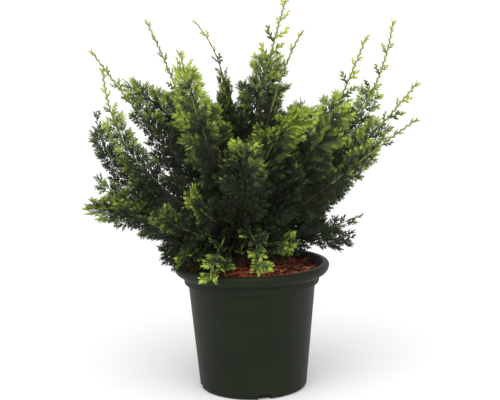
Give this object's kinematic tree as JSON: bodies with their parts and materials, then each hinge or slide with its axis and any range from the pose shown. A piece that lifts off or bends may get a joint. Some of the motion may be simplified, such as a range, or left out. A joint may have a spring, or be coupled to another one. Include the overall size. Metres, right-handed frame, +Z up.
{
  "type": "dwarf hinoki cypress in a pot",
  "caption": "A young dwarf hinoki cypress with flat fan sprays of scale foliage on rising boughs, in a round dark green plastic nursery pot topped with shredded bark.",
  "frame": {"origin": "centre of the pot's flat underside", "axes": "+Z up along the pot's axis, -Y the plant's front, +X to the right seen from the front"},
  "size_m": [0.5041, 0.328, 0.5912],
  "materials": {
    "pot": "satin",
    "growing_medium": "rough",
    "bark_mulch": "rough",
    "bark": "rough",
    "foliage_deep": "matte",
    "foliage_mid": "matte",
    "foliage_fresh": "matte",
    "foliage_bright": "matte"
  },
  "bodies": {
    "root": {"pot": "pot", "growing_medium": "growing_medium", "bark_mulch": "bark_mulch", "trunk": "bark", "bough_left_high": "bark", "bough_left_shoulder": "bark", "bough_left_mid": "bark", "bough_left_outer": "bark", "bough_left_low": "bark", "bough_left_flat": "bark", "bough_back_left_high": "bark", "bough_front_left_fan": "bark", "bough_centre_left_high": "bark", "bough_centre_right_high": "bark", "bough_right_high": "bark", "bough_right_tall": "bark", "bough_right_outer": "bark", "bough_right_mid": "bark", "bough_front_right_fan": "bark", "bough_front_fan": "bark", "bough_back_left": "bark", "bough_back": "bark", "bough_back_right": "bark", "bough_back_low": "bark", "bough_back_right_low": "bark", "foliage_leader": "foliage_mid", "foliage_left_high": "foliage_mid", "foliage_left_shoulder": "foliage_mid", "foliage_left_mid": "foliage_fresh", "foliage_left_outer": "foliage_deep", "foliage_left_low": "foliage_mid", "foliage_left_flat": "foliage_mid", "foliage_back_left_high": "foliage_mid", "foliage_front_left_fan": "foliage_bright", "foliage_centre_left_high": "foliage_mid", "foliage_centre_right_high": "foliage_mid", "foliage_right_high": "foliage_fresh", "foliage_right_tall": "foliage_mid", "foliage_right_outer": "foliage_mid", "foliage_right_mid": "foliage_mid", "foliage_front_right_fan": "foliage_fresh", "foliage_front_fan": "foliage_mid", "foliage_back_left": "foliage_deep", "foliage_back": "foliage_deep", "foliage_back_right": "foliage_deep", "foliage_back_low": "foliage_deep", "foliage_back_right_low": "foliage_deep", "foliage_back_left_low": "foliage_deep", "foliage_right_inner": "foliage_deep", "foliage_right_low": "foliage_deep", "foliage_right_lowest": "foliage_deep", "foliage_left_lowest": "foliage_deep", "foliage_inner_right": "foliage_deep", "foliage_front": "foliage_bright", "foliage_front_left": "foliage_bright", "foliage_front_left_high": "foliage_fresh", "foliage_left_front": "foliage_bright", "foliage_left_front_high": "foliage_bright", "foliage_right_front": "foliage_fresh"}
  },
  "joints": []
}
